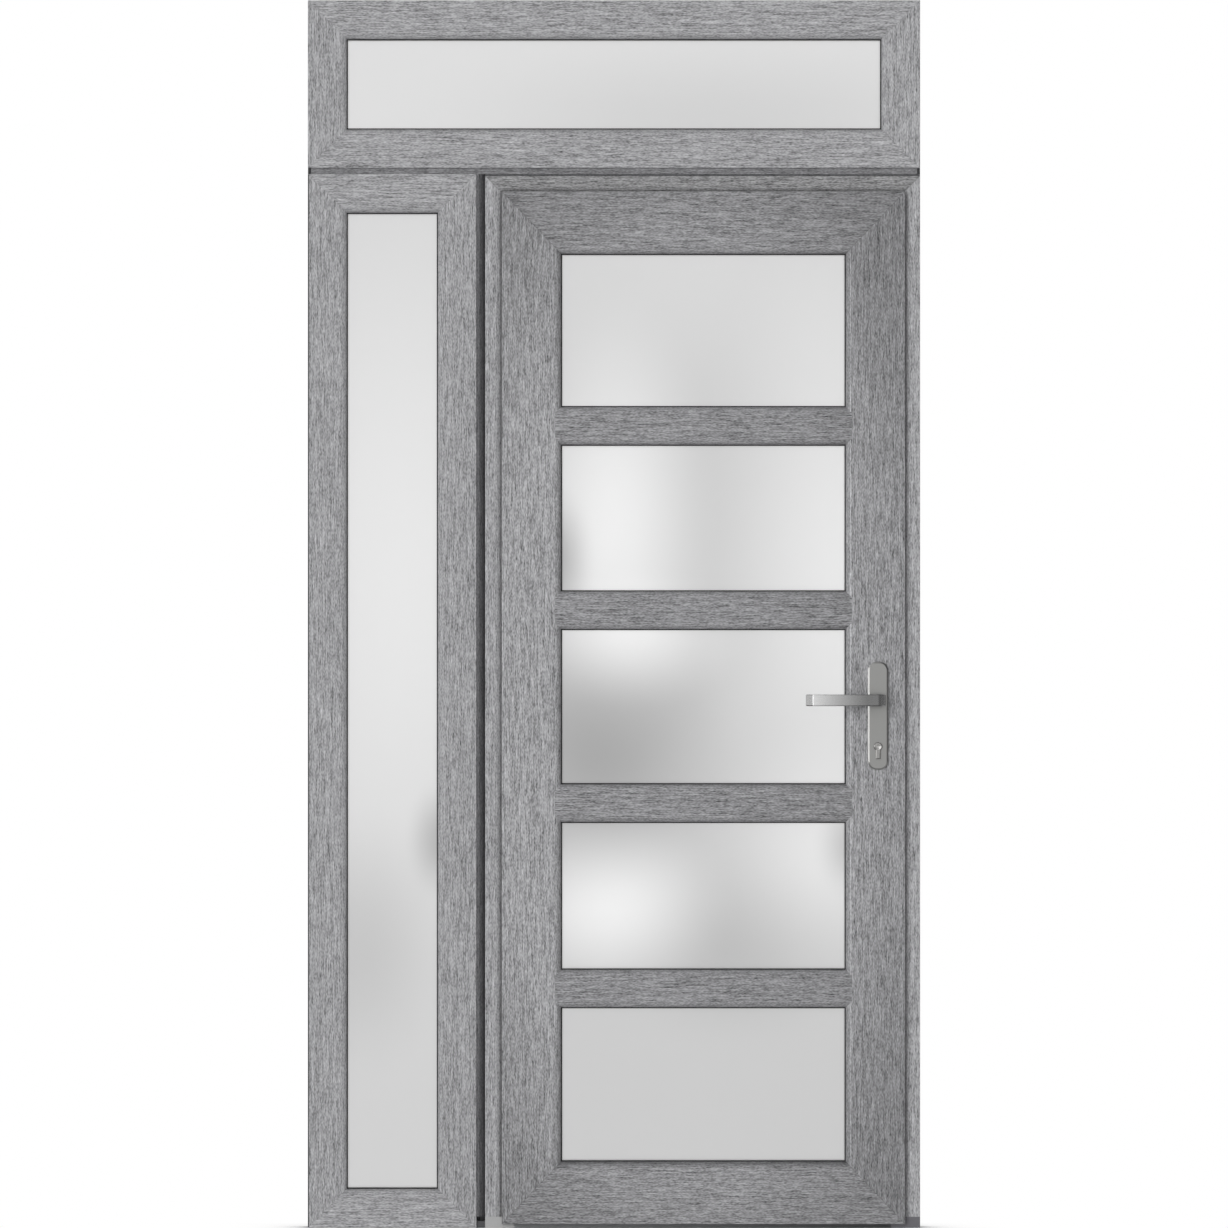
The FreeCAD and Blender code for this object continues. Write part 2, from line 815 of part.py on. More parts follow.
# Lock faceplate in its groove, with the latch standing a little proud of it.
EDGE_X = f"({LEAF_RIGHT} - lip_width)"
strip = box(
    f"{EDGE_X} - faceplate_thick",
    EDGE_X,
    f"{LEAF_FRONT} + faceplate_inset",
    f"{LEAF_FRONT} + faceplate_inset + faceplate_width",
    f"{LEAF_FLOOR} + faceplate_end",
    f"{LEAF_TOP} - faceplate_end",
)
latch = box(
    f"{EDGE_X} - faceplate_thick / 2",
    f"{EDGE_X} + latch_proud",
    f"{LEAF_FRONT} + faceplate_inset + faceplate_width / 2 - latch_width / 2",
    f"{LEAF_FRONT} + faceplate_inset + faceplate_width / 2 + latch_width / 2",
    "handle_height - latch_height / 2",
    "handle_height + latch_height / 2",
)
faceplate = doc.addObject("Part::Fuse", "lock_faceplate")
faceplate.Base = strip
faceplate.Tool = latch
nodes.append(faceplate)

# Backplate: a plate with rounded corners and a bevelled edge on the leaf's face, bored for the lever's
# neck and the cylinder.
MIRROR_Y = f"({LEAF_FRONT} + leaf_depth / 2)"
plate = new_body("outside_backplate")
face = sketch_on(plate, "XZ_Plane")
outline(
    face,
    rounded(
        "-plate_width / 2",
        "plate_width / 2",
        "-plate_drop - plate_length / 2",
        "-plate_drop + plate_length / 2",
        "plate_corner",
    ),
)
pad(plate, face, "plate_thick")
front_y = -number("plate_thick")
ease(plate, lambda edge: all(abs(v.Y - front_y) < 0.01 for v in edge.Vertexes), "plate_edge", "Chamfer")
bore = sketch_on(plate, "XZ_Plane")
circle(bore, "0", "0", "neck_size + fit_gap")
circle(bore, "0", "-cylinder_drop", "cylinder_bore + fit_gap")
pocket(plate, bore, "plate_thick", reverse=True)
bore = sketch_on(plate, "XZ_Plane")
outline(
    bore,
    rectangle(
        "-cylinder_web - fit_gap",
        "cylinder_web + fit_gap",
        "-cylinder_drop - cylinder_tail - fit_gap",
        "-cylinder_drop",
    ),
)
pocket(plate, bore, "plate_thick", reverse=True)
place(plate, HANDLE_X, LEAF_FRONT, "handle_height")

# Lever: a flat bar with a rounded heel and a tip turned back to the door, on a round neck.
lever = new_body("outside_lever")
plan = sketch_on(lever, "XY_Plane")
outline(
    plan,
    [
        ("lever_heel", "lever_heel - lever_reach + lever_gusset"),
        ("-neck_size", "lever_heel - lever_reach + lever_gusset"),
        ("-neck_size - lever_gusset", "lever_thick - lever_reach"),
        ("lever_tip + lever_gusset - lever_length", "lever_thick - lever_reach"),
        ("lever_end - lever_length", "lever_thick - lever_reach + lever_return"),
        ("-lever_length", "lever_end - lever_reach"),
        ("lever_tip - lever_length", "-lever_reach"),
        ("0", "-lever_reach", "lever_heel"),
        ("lever_heel", "lever_heel - lever_reach"),
    ],
)
pad(lever, plan, "lever_height", both_ways=True)
half = number("lever_height / 2")
ease(
    lever,
    lambda edge: all(abs(abs(v.Z) - half) < 0.01 for v in edge.Vertexes)
    and abs(edge.Vertexes[0].Z - edge.Vertexes[-1].Z) < 0.01,
    "lever_edge",
)
neck = sketch_on(lever, "XZ_Plane")
circle(neck, "0", "0", "neck_size")
pad(lever, neck, "lever_reach - lever_thick / 2")
place(lever, HANDLE_X, LEAF_FRONT, "handle_height")


def on_the_inside(source, name):
    """The same piece mirrored to the inside of the leaf."""
    twin = doc.addObject("Part::Mirroring", name)
    twin.Source = source
    twin.Normal = Vector(0, 1, 0)
    twin.setExpression("Base.y", formula(MIRROR_Y))
    twin.Label = name
    return twin


half_spindle = "spindle_size / 2"
spindle = box(
    f"{HANDLE_X} - {half_spindle}",
    f"{HANDLE_X} + {half_spindle}",
    LEAF_FRONT,
    LEAF_BACK,
    f"handle_height - {half_spindle}",
    f"handle_height + {half_spindle}",
    "spindle",
)
nodes += [plate, on_the_inside(plate, "inside_backplate")]
nodes += [lever, on_the_inside(lever, "inside_lever"), spindle]

# Lock cylinder: round barrel over a web, right through the leaf, with a key slot at each end.
CYLINDER_LENGTH = "(leaf_depth + 2 * plate_thick + 2 * cylinder_proud)"
cylinder = new_body("lock_cylinder")
barrel = sketch_on(cylinder, "XZ_Plane")
circle(barrel, "0", "0", "cylinder_bore")
pad(cylinder, barrel, CYLINDER_LENGTH)
web = sketch_on(cylinder, "XZ_Plane")
outline(web, rectangle("-cylinder_web", "cylinder_web", "-cylinder_tail", "0"))
pad(cylinder, web, CYLINDER_LENGTH)
for lift, reverse in (("0", True), (CYLINDER_LENGTH, False)):
    slot = sketch_on(cylinder, "XZ_Plane", lift)
    outline(
        slot,
        rectangle(
            "-key_slot_width / 2", "key_slot_width / 2", "-key_slot_height / 2", "key_slot_height / 2"
        ),
    )
    pocket(cylinder, slot, "key_slot_depth", reverse=reverse)
place(cylinder, HANDLE_X, f"{LEAF_BACK} + plate_thick + cylinder_proud", CYLINDER_Z)
nodes.append(cylinder)

# Concealed hinges. Each has a curved arm that slides half the swing out of the jamb and half out of the
# stile, about the leaf's swing axis at the back corner of its lip.
JAMB_MOUTH = "asin((jamb_face - hinge_margin) / hinge_radius)"
LEAF_MOUTH = "asin(lip_width / hinge_radius)"
TAIL = f"((hinge_travel_angle + hinge_grip_angle) * 1 deg - {JAMB_MOUTH})"
NOSE = f"((hinge_travel_angle + hinge_grip_angle) * 1 deg + {LEAF_MOUTH})"


def arc_piece(height, length, play, start, end):
    """A part of a tube about the swing axis, between two angles measured from straight in."""
    outer = doc.addObject("Part::Cylinder", "Arc")
    outer.setExpression("Radius", formula(f"hinge_radius + hinge_arm_thick / 2 + {play}"))
    outer.setExpression("Height", formula(f"{length} + 2 * {play}"))
    outer.setExpression("Angle", formula(f"{end} - ({start})"))
    place(outer, LEAF_LEFT, LIP_BACK, f"{height} - {length} / 2 - {play}", 45, Vector(0, 0, 1))
    outer.setExpression("Placement.Rotation.Angle", formula(f"90 deg + {start}"))
    inner = doc.addObject("Part::Cylinder", "Bore")
    inner.setExpression("Radius", formula(f"hinge_radius - hinge_arm_thick / 2 - {play}"))
    inner.setExpression("Height", formula(f"{length} + 2 * {play}"))
    place(inner, LEAF_LEFT, LIP_BACK, f"{height} - {length} / 2 - {play}")
    return cut(outer, inner)


arms, frame_halves, leaf_halves = [], [], []
for hinge in HINGES:
    low, high = f"{hinge} - hinge_block_height / 2", f"{hinge} + hinge_block_height / 2"
    frame_block = box(
        f"{DOOR_LEFT} + jamb_face - hinge_frame_deep",
        f"{DOOR_LEFT} + jamb_face",
        f"{LIP_BACK} + hinge_frame_front",
        f"{LIP_BACK} + hinge_frame_back",
        low,
        high,
    )
    leaf_block = box(
        f"{LEAF_LEFT} + lip_width",
        f"{LEAF_LEFT} + lip_width + hinge_leaf_deep",
        f"{LIP_BACK} - hinge_leaf_front",
        f"{LIP_BACK} + hinge_leaf_back",
        low,
        high,
    )
    length = "hinge_arm_height"
    arms.append(arc_piece(hinge, length, "0", f"-{NOSE}", TAIL))
    frame_slot = arc_piece(hinge, length, "fit_gap", f"-{JAMB_MOUTH} - 20 deg", f"{TAIL} + 1 deg")
    leaf_slot = arc_piece(hinge, length, "fit_gap", f"-{NOSE} - 1 deg", f"20 deg - {LEAF_MOUTH}")
    frame_halves.append(cut(frame_block, frame_slot))
    leaf_halves.append(cut(leaf_block, leaf_slot))
nodes.append(together("hinge_frame_halves", frame_halves))
nodes.append(together("hinge_leaf_halves", leaf_halves))
nodes.append(together("hinge_arms", arms))

# Every piece is looked over before it is written.
doc.recompute()
for thing in doc.Objects:
    if {"Invalid", "Error"} & set(thing.State):
        raise RuntimeError(f"{thing.Name} ({thing.Label}) did not build: {thing.State}")
os.makedirs("parts", exist_ok=True)
for node in nodes:
    if node.Shape.isNull() or not node.Shape.isValid():
        raise RuntimeError(f"{node.Label} has no valid shape")
    node.Shape.exportStep(f"parts/{node.Label}.step")
print(len(nodes), "nodes,", sum(len(node.Shape.Solids) for node in nodes), "solids")
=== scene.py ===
import bpy
import numpy as np
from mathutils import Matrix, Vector


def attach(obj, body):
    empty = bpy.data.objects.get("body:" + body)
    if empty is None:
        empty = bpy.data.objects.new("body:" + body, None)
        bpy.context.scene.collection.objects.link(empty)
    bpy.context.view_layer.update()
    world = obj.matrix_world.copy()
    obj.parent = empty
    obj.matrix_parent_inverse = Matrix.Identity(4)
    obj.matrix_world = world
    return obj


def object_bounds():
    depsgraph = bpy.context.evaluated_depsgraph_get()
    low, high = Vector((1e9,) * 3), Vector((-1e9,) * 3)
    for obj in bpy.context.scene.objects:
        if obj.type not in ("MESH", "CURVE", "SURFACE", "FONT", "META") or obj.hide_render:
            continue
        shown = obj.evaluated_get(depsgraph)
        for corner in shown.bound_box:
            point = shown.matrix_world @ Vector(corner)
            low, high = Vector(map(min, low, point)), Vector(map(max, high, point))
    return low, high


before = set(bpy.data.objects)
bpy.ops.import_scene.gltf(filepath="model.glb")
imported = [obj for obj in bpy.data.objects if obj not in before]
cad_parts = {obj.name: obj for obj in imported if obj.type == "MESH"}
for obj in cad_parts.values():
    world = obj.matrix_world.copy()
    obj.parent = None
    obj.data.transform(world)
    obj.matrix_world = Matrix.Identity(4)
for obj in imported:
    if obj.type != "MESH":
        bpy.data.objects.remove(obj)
cad_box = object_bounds()

# Fixed lights: the top light over the whole width and the sidelight at the left.
# Each is four PVC bars, mitred and welded, wrapped in an ash-grey foil printed and embossed like wood.
# The grain runs along every bar, so it turns by a right angle at each mitre.


def srgb(code):
    """A hex colour as linear red, green, blue and alpha: the sRGB curve undone channel by channel."""
    values = np.array([int(code[i : i + 2], 16) for i in (1, 3, 5)]) / 255
    linear = np.where(values <= 0.04045, values / 12.92, ((values + 0.055) / 1.055) ** 2.4)
    return (*linear.tolist(), 1.0)


def add(tree, kind, settings=None, **inputs):
    """One shader node with its settings and inputs.

    An input is named, or i0, i1 by its number. A socket given is linked, and a node by its first output.
    """
    node = tree.nodes.new("ShaderNode" + kind)
    for key, value in (settings or {}).items():
        setattr(node, key, value)
    for key, value in inputs.items():
        socket = node.inputs[int(key[1:])] if key[1:].isdigit() else node.inputs[key.replace("_", " ")]
        if isinstance(value, bpy.types.Node):
            value = value.outputs[0]
        if isinstance(value, bpy.types.NodeSocket):
            tree.links.new(value, socket)
        else:
            socket.default_value = value
    return node


def new_material(name):
    """An empty node material: itself, its tree and the place on the object in metres."""
    material = bpy.data.materials.new(name)
    material.use_nodes = True
    tree = material.node_tree
    tree.nodes.clear()
    return material, tree, add(tree, "TexCoord").outputs["Object"]


def dress(material, *names):
    """Puts a material on CAD nodes, in place of the record's plain one."""
    for name in names:
        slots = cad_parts[name].data.materials
        slots.clear()
        slots.append(material)


def soft_spot(tree, place, middle, reach):
    """A round fall from 1 at a middle (x, z) to 0 at a reach across and up, in metres."""
    (x, z), (across, up) = middle, reach
    shift = (-x / across, 0, -z / up)
    spot = add(tree, "Mapping", Vector=place, Scale=(1 / across, 0, 1 / up), Location=shift)
    return add(tree, "TexGradient", {"gradient_type": "SPHERICAL"}, Vector=spot).outputs["Fac"]


def gap_from(tree, value, place):
    """How far a coordinate lies off a place, whichever side."""
    gap = add(tree, "Math", {"operation": "SUBTRACT"}, i0=value, i1=place)
    return add(tree, "Math", {"operation": "ABSOLUTE"}, i0=gap)


def ash_grey_foil(
    name, along, colour, contrast=1.0, corners=None, sides=None, mitre=None, painted_ramp=None, edge_highlight=None
):
    """Wood-look foil: matt print with fine light and dark dashes along one axis and a shallow embossing.

    Dashes about 1.4 mm wide are laid over each other in three lengths. The corner spot is a middle and a
    reach, past which painted shade darkens the foil towards the corners. sides is a middle and a half width
    past which the grain stands upright, for pieces that hold level and upright lengths. mitre is a frame's
    middle, its half size, the slope of its corner cuts and the shade of the weld that shows along them as a
    fine line. The ramp is an axis, two places along it and the painted shade or light at both. The edge line
    is the place across of an upright edge where a painted highlight shows as a fine line, and how bright it
    is.
    """
    material, tree, place = new_material(name)
    apart = add(tree, "SeparateXYZ", Vector=place)
    x, y, z = apart.outputs
    grain_place = place
    if sides:
        past = add(tree, "Math", {"operation": "GREATER_THAN"}, i0=gap_from(tree, x, sides[0]), i1=sides[1])
        turned = add(tree, "CombineXYZ", X=z, Y=y, Z=x)
        grain_place = add(tree, "Mix", {"data_type": "VECTOR"}, i0=past, i4=place, i5=turned).outputs[1]
    # The pattern's cells are a 700th of a metre deep, so the front faces, 35 and 55 mm before the middle, cut
    # them midway, where the pattern is strongest.
    cell_depth = 1 / 700
    grain = []
    for width, length in ((0.0013, 0.005), (0.0014, 0.018), (0.0016, 0.052)):
        size = {"x": width, "y": cell_depth, "z": width, along: length}
        scaled = add(tree, "Mapping", Vector=grain_place, Scale=[1 / size[axis] for axis in "xyz"])
        grain.append(add(tree, "TexNoise", Vector=scaled, Scale=1.0, Detail=0.0))
    # The noise lies about 0.5, so these shares of short, middling and long dashes leave the mean tone at 1.
    shares = [contrast * share for share in (1.2, 0.98, 0.76)]
    darkest = 0.15
    tone = 1 - sum(shares) / 2
    for noise, share in zip(grain, shares):
        tone = add(tree, "Math", {"operation": "MULTIPLY_ADD"}, i0=noise, i1=share, i2=tone)
    tone = add(tree, "Math", {"operation": "MAXIMUM"}, i0=tone, i1=darkest)
    soft = {"interpolation_type": "SMOOTHSTEP"}
    shades = []
    # Painted shade darkens the foil towards the corners.
    if corners:
        corner_start, corner_shade = 0.42, 0.68
        near = soft_spot(tree, place, *corners)
        shades.append(add(tree, "MapRange", soft, Value=near, From_Max=corner_start, To_Min=corner_shade))
    # A painted ramp of shade or light along one axis.
    if painted_ramp:
        axis, start, end, first, last = painted_ramp
        ramp = {"From_Min": start, "From_Max": end, "To_Min": first, "To_Max": last}
        shades.append(add(tree, "MapRange", Value=apart.outputs[axis], **ramp))
    # A painted highlight: a fine pale line along an upright edge.
    if edge_highlight:
        spot, shade = edge_highlight
        line = {"From_Min": 0.0003, "From_Max": 0.0019, "To_Min": shade}
        shades.append(add(tree, "MapRange", soft, Value=gap_from(tree, x, spot), **line))
    if mitre:
        middle, half, slope, shade = mitre
        cut = []
        for value, centre, reach in zip((x, z), middle, half):
            cut.append(
                add(tree, "Math", {"operation": "SUBTRACT"}, i0=gap_from(tree, value, centre), i1=reach)
            )
        up = add(tree, "Math", {"operation": "MULTIPLY"}, i0=cut[1], i1=slope)
        line = {"From_Min": 0.0006, "From_Max": 0.002, "To_Min": shade}
        shades.append(add(tree, "MapRange", soft, Value=gap_from(tree, cut[0], up), **line))
    for shade in shades:
        tone = add(tree, "Math", {"operation": "MULTIPLY"}, i0=tone, i1=shade)
    tint = add(tree, "VectorMath", {"operation": "SCALE"}, i0=srgb(colour)[:3], Scale=tone)
    dull = add(tree, "MapRange", Value=grain[0], From_Min=0.3, From_Max=0.7, To_Min=0.66, To_Max=0.5)
    pores = add(tree, "Bump", Height=grain[1], Strength=0.3, Distance=0.0003)
    skin = add(tree, "BsdfPrincipled", Base_Color=tint, Roughness=dull, IOR=1.46, Normal=pores)
    add(tree, "OutputMaterial", Surface=skin)
    return material


for light, middle, half, sides in (
    ("transom", (0.0, 2.2715), (0.608, 0.1665), (0.0, 0.531)),
    ("sidelight", (-0.4405, 1.0465), (0.1675, 1.0465), (-0.4405, 0.0905)),
):
    mitre = (middle, half, 1.0, 0.95)
    level = ash_grey_foil(f"ash_grey_foil_{light}_level", "x", "#9a9a9c", mitre=mitre)
    upright = ash_grey_foil(f"ash_grey_foil_{light}_upright", "z", "#9a9a9c", mitre=mitre)
    beads = ash_grey_foil(f"ash_grey_foil_{light}_beads", "x", "#949496", sides=sides)
    dress(level, f"{light}_head", f"{light}_sill")
    dress(upright, f"{light}_left_jamb", f"{light}_right_jamb")
    dress(beads, f"{light}_beads")

# Couplers: extrusions that join the lights and the door frame, set back behind their faces.
# The same foil over PVC, coloured darker as painted shade in their recess, the packer darkest. The upright
# one has a quarter-round front, painted lighter at its left and darker at its right, and stands on a moulded
# foot.
mullion_painted_light_and_shade = ("X", -0.273, -0.2665, 1.5, 0.7)
dress(ash_grey_foil("ash_grey_foil_coupler", "x", "#78787a"), "transom_coupler")
dress(ash_grey_foil("painted_shade_foil_packer", "x", "#59595b"), "head_packer")
dress(ash_grey_foil("painted_shade_foil_upright", "z", "#646466", painted_ramp=mullion_painted_light_and_shade), "mullion_coupler")


def moulded_plastic(name, colour, roughness):
    """Moulded plastic: one even colour with a fine spark-eroded texture, drawn 1.5 mm coarse to show."""
    material, tree, place = new_material(name)
    fine = add(tree, "TexNoise", Vector=place, Scale=1 / 0.0015, Detail=2.0)
    shade = add(tree, "MapRange", Value=fine, To_Min=0.86, To_Max=1.14)
    tint = add(tree, "VectorMath", {"operation": "SCALE"}, i0=srgb(colour)[:3], Scale=shade)
    rough = add(tree, "MapRange", Value=fine, To_Min=roughness - 0.1, To_Max=roughness + 0.1)
    bump = add(tree, "Bump", Height=fine, Strength=0.15, Distance=0.0002)
    skin = add(tree, "BsdfPrincipled", Base_Color=tint, Roughness=rough, IOR=1.5, Normal=bump)
    add(tree, "OutputMaterial", Surface=skin)
    return material


dress(moulded_plastic("moulded_foot", "#4d4d4f", 0.55), "mullion_foot")


def grid_piece(name, grids, material, body, back):
    """One piece from grids of points, four neighbours to a face, given a back at a depth behind its faces."""
    points, faces, start = [], [], 0
    for grid in grids:
        index = np.arange(grid.shape[0] * grid.shape[1]).reshape(grid.shape[:2]) + start
        corners = (index[:-1, :-1], index[1:, :-1], index[1:, 1:], index[:-1, 1:])
        faces.append(np.stack(corners, axis=-1).reshape(-1, 4))
        points.append(grid.reshape(-1, 3))
        start += index.size
    mesh = bpy.data.meshes.new(name)
    mesh.from_pydata(np.concatenate(points).tolist(), [], np.concatenate(faces).tolist())
    mesh.materials.append(material)
    piece = bpy.data.objects.new(name, mesh)
    bpy.context.scene.collection.objects.link(piece)
    piece.modifiers.new("seam", "WELD").merge_threshold = 1e-6
    solid = piece.modifiers.new("back", "SOLIDIFY")
    solid.thickness = back
    solid.offset = -1
    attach(piece, body)
    return piece


# A dark cap closes each end of the level coupler: a flat pad whose four edges are rolled down.
cap_left, cap_right = -0.6078, 0.6078
cap_width, cap_thick, cap_sunk = 0.006, 0.001, 0.0002
coupler_face, coupler_low, coupler_high = -0.028, 2.0932, 2.1048
u, v = np.meshgrid(np.linspace(-1, 1, 13), np.linspace(-1, 1, 13), indexing="ij")
pad = coupler_face + cap_sunk - (cap_thick + cap_sunk) * (1 - u**8) * (1 - v**8)
pad_z = (coupler_low + coupler_high) / 2 + v * (coupler_high - coupler_low) / 2
caps = []
for middle in (cap_left + cap_width / 2, cap_right - cap_width / 2):
    caps.append(np.stack([middle + u * cap_width / 2, pad, pad_z], axis=-1))
cap_plastic = moulded_plastic("moulded_end_cap", "#2c2c2e", 0.55)
grid_piece("coupler_end_caps", caps, cap_plastic, "frame", back=0.0004)

# Edge strip: a narrow dark strip up the sidelight's outer edge, where the jamb meets the wall, put there as
# painted shade. It has the look of moulded plastic and a flattened round section, on the face of the jamb.
strip_left, strip_width, strip_thick, strip_sunk = -0.6079, 0.0023, 0.0008, 0.0002
jamb_front, strip_foot, strip_top = -0.035, 0.001, 2.092
u, z = np.meshgrid(np.linspace(-1, 1, 13), np.array([strip_foot, strip_top]), indexing="ij")
bead = jamb_front + strip_sunk - (strip_thick + strip_sunk) * (1 - u**4)
strip = np.stack([strip_left + (1 + u) / 2 * strip_width, bead, z], axis=-1)
edge_shade_material = moulded_plastic("painted_shade_edge_strip", "#3a3a3c", 0.55)
grid_piece("sidelight_edge_painted_shade", [strip], edge_shade_material, "frame", back=0.0004)

# Door frame: head and two jambs, mitred and welded, with their inner edge rounded off towards the leaf.
# The same foil as the fixed lights, with the head coloured darker than the jambs as painted shade. The
# threshold end blocks under the jambs are moulded.
door_mitre = ((0.176, 0.0), (0.432, 2.089), 1.0, 0.85)
dress(ash_grey_foil("ash_grey_foil_door_head", "x", "#888889", 1.15, mitre=door_mitre), "door_head")
dress(ash_grey_foil("ash_grey_foil_hinge_jamb", "z", "#9e9ea0", mitre=door_mitre), "hinge_jamb")
dress(ash_grey_foil("ash_grey_foil_lock_jamb", "z", "#9e9ea0", mitre=door_mitre), "lock_jamb")
dress(moulded_plastic("pale_end_block", "#a8a8a8", 0.5), "threshold_end_left")
dress(moulded_plastic("dark_end_block", "#656468", 0.5), "threshold_end_right")

# Threshold: a low extrusion of anodised aluminium that lies between the end blocks.
# A ribbed tread of the same metal is let in on top.


def drawn_metal(name, colour, along, roughness, painted_ramps=(), streak=0.15):
    """Metal drawn or brushed along one axis: lines drawn 0.8 mm apart to show vary its gloss and shade.

    A ramp is two places along X and the painted shade or light at both. streak is how far the lines leave
    the mean shade.
    """
    material, tree, place = new_material(name)
    size = {axis: 0.016 if axis == along else 0.0008 for axis in "xyz"}
    scaled = add(tree, "Mapping", Vector=place, Scale=[1 / size[axis] for axis in "xyz"])
    lines = add(tree, "TexNoise", Vector=scaled, Scale=1.0, Detail=2.0)
    shade = add(tree, "MapRange", Value=lines, To_Min=1 - streak, To_Max=1 + streak)
    # Each ramp paints shade or light along X.
    for start, end, first, last in painted_ramps:
        across = add(tree, "SeparateXYZ", Vector=place).outputs["X"]
        ramp = {"From_Min": start, "From_Max": end, "To_Min": first, "To_Max": last}
        level = add(tree, "MapRange", Value=across, **ramp)
        shade = add(tree, "Math", {"operation": "MULTIPLY"}, i0=shade, i1=level)
    tint = add(tree, "VectorMath", {"operation": "SCALE"}, i0=srgb(colour)[:3], Scale=shade)
    rough = add(tree, "MapRange", Value=lines, To_Min=roughness - 0.1, To_Max=roughness + 0.1)
    skin = add(tree, "BsdfPrincipled", Base_Color=tint, Roughness=rough, Metallic=1.0)
    add(tree, "OutputMaterial", Surface=skin)
    return material


# Painted shade darkens the threshold and its tread towards the right.
aluminium = drawn_metal("anodised_aluminium", "#a4a5a7", "x", 0.42, [(-0.22, 0.57, 1.0, 0.3)])
dress(aluminium, "threshold")
tread_left, tread_right = -0.196, 0.548
tread_front, tread_back, tread_top, tread_lift = -0.027, 0.015, 0.022, 0.0002
rib_pitch, rib_height = 0.006, 0.0009
# The tread's section is a row of cosine ribs that starts and ends in a valley.
y = np.linspace(tread_front, tread_back, 85)
ribs = tread_top + tread_lift + rib_height * (0.5 - 0.5 * np.cos(2 * np.pi * (y - tread_front) / rib_pitch))
x = np.array([tread_left, tread_right])
tread = np.stack(np.broadcast_arrays(x[:, None], y[None, :], ribs[None, :]), axis=-1)
grid_piece("threshold_tread", [tread], aluminium, "frame", back=0.0004)

# Seals and gaskets: extruded soft rubber lips round the leaf, the stop and every pane.
# Black EPDM, matt, pushed into grooves, with a film of dust drawn 2 mm coarse to show.
rubber, tree, place = new_material("black_epdm_rubber")
fine = add(tree, "TexNoise", Vector=place, Scale=1 / 0.002, Detail=2.0)
dust = add(tree, "MapRange", Value=fine, To_Min=0.6, To_Max=1.4)
tint = add(tree, "VectorMath", {"operation": "SCALE"}, i0=srgb("#1e1e1f")[:3], Scale=dust)
skin = add(tree, "BsdfPrincipled", Base_Color=tint, Roughness=0.7, IOR=1.52)
add(tree, "OutputMaterial", Surface=skin)
dress(rubber, "transom_gaskets", "sidelight_gaskets", "leaf_gaskets", "frame_seal", "leaf_seal")

# Leaf: two stiles and two rails, mitred and welded, and four bars let into the stiles.
# The same foil, coloured a little different on each piece as painted shade: the level pieces and the lock
# stile darker than the hinge stile. Painted shade darkens the leaf towards its corners and darkens the inner
# edges where they slope down to the panes on the hinge side and below; a painted highlight draws a pale edge
# line on the lock side.
leaf_corner_painted_shade = ((0.14, 1.033), (0.62, 1.30))
leaf_mitre = ((0.1775, 1.033), (0.4005, 1.025), 0.952, 0.8)
for name, along, colour, slope in (
    ("hinge_stile", "z", "#9b9b9d", {"painted_ramp": ("X", -0.1195, -0.1075, 1.0, 0.62)}),
    ("lock_stile", "z", "#929294", {"edge_highlight": (0.4696, 1.45)}),
    ("top_rail", "x", "#919193", {}),
    ("bottom_rail", "x", "#959597", {"painted_ramp": ("Z", 0.1171, 0.129, 1.0, 0.58)}),
):
    foil = ash_grey_foil(f"leaf_foil_{name}", along, colour, 1.08, leaf_corner_painted_shade, mitre=leaf_mitre, **slope)
    dress(foil, f"leaf_{name}")
# The bars are coloured darker and painted darker still towards the lock side, both as painted shade.
bar_painted_shade = ("X", 0.2, 0.46, 1.0, 0.87)
dress(ash_grey_foil("leaf_foil_bars", "x", "#8a8a8c", 1.1, painted_ramp=bar_painted_shade), "glazing_bars")
dress(ash_grey_foil("leaf_foil_beads", "x", "#8f8f91", sides=(0.1775, 0.2825)), "leaf_beads")

# Glass: seven sealed units of acid-etched float glass, held by beads from inside.
# Milky white, with soft clouds of painted light and shade that stand for what the etched glass takes from
# what lies behind it.


def etched_glass(name, tone, clouds):
    """Etched glass: a satin white whose tone drifts in soft round clouds, its grit drawn 3 mm coarse to show.

    A cloud is its middle (x, z), its reach across and up in metres, and how much painted light it adds; a
    cloud that takes light away is painted shade.
    """
    material, tree, place = new_material(name)
    soft = {"interpolation_type": "SMOOTHSTEP"}
    for x, z, across, up, amount in clouds:
        near = soft_spot(tree, place, (x, z), (across, up))
        cloud = add(tree, "MapRange", soft, Value=near, To_Max=amount)
        tone = add(tree, "Math", {"operation": "ADD"}, i0=cloud, i1=tone)
    grit = add(tree, "TexNoise", Vector=place, Scale=1 / 0.003, Detail=1.0)
    etched = add(tree, "MapRange", Value=grit, To_Min=0.26, To_Max=0.42)
    skin = add(
        tree, "BsdfPrincipled", Base_Color=tone, Roughness=etched, IOR=1.52, Transmission_Weight=1.0
    )
    add(tree, "OutputMaterial", Surface=skin)
    return material


# The clouds are given one by one. The top light is a little duller low at the right.
top_shade = (0.2, 2.2, 0.7, 0.2, -0.1)
# The sidelight is bright up its middle, and duller low at the left and at one place on its right edge.
side_glow = (-0.42, 1.3, 0.5, 1.1, 0.17)
side_low_shade = (-0.5, 0.57, 0.2, 0.3, -0.12)
side_edge_shade = (-0.35, 0.77, 0.07, 0.13, -0.25)
# The leaf has a tall bright cloud on each side that goes on behind the bars, and a dark one at the left of
# the middle pane, under a bright edge.
top_pane_glow = (0.18, 1.9, 0.8, 0.4, 0.08)
hinge_side_glow = (0.0, 1.4, 0.22, 0.5, 0.28)
hinge_edge_shade = (-0.11, 1.33, 0.08, 0.16, -0.3)
lock_side_glow = (0.46, 1.3, 0.33, 0.8, 0.22)
middle_edge_glow = (0.04, 1.17, 0.25, 0.15, 0.2)
middle_pane_shade = (-0.03, 0.96, 0.3, 0.36, -0.23)
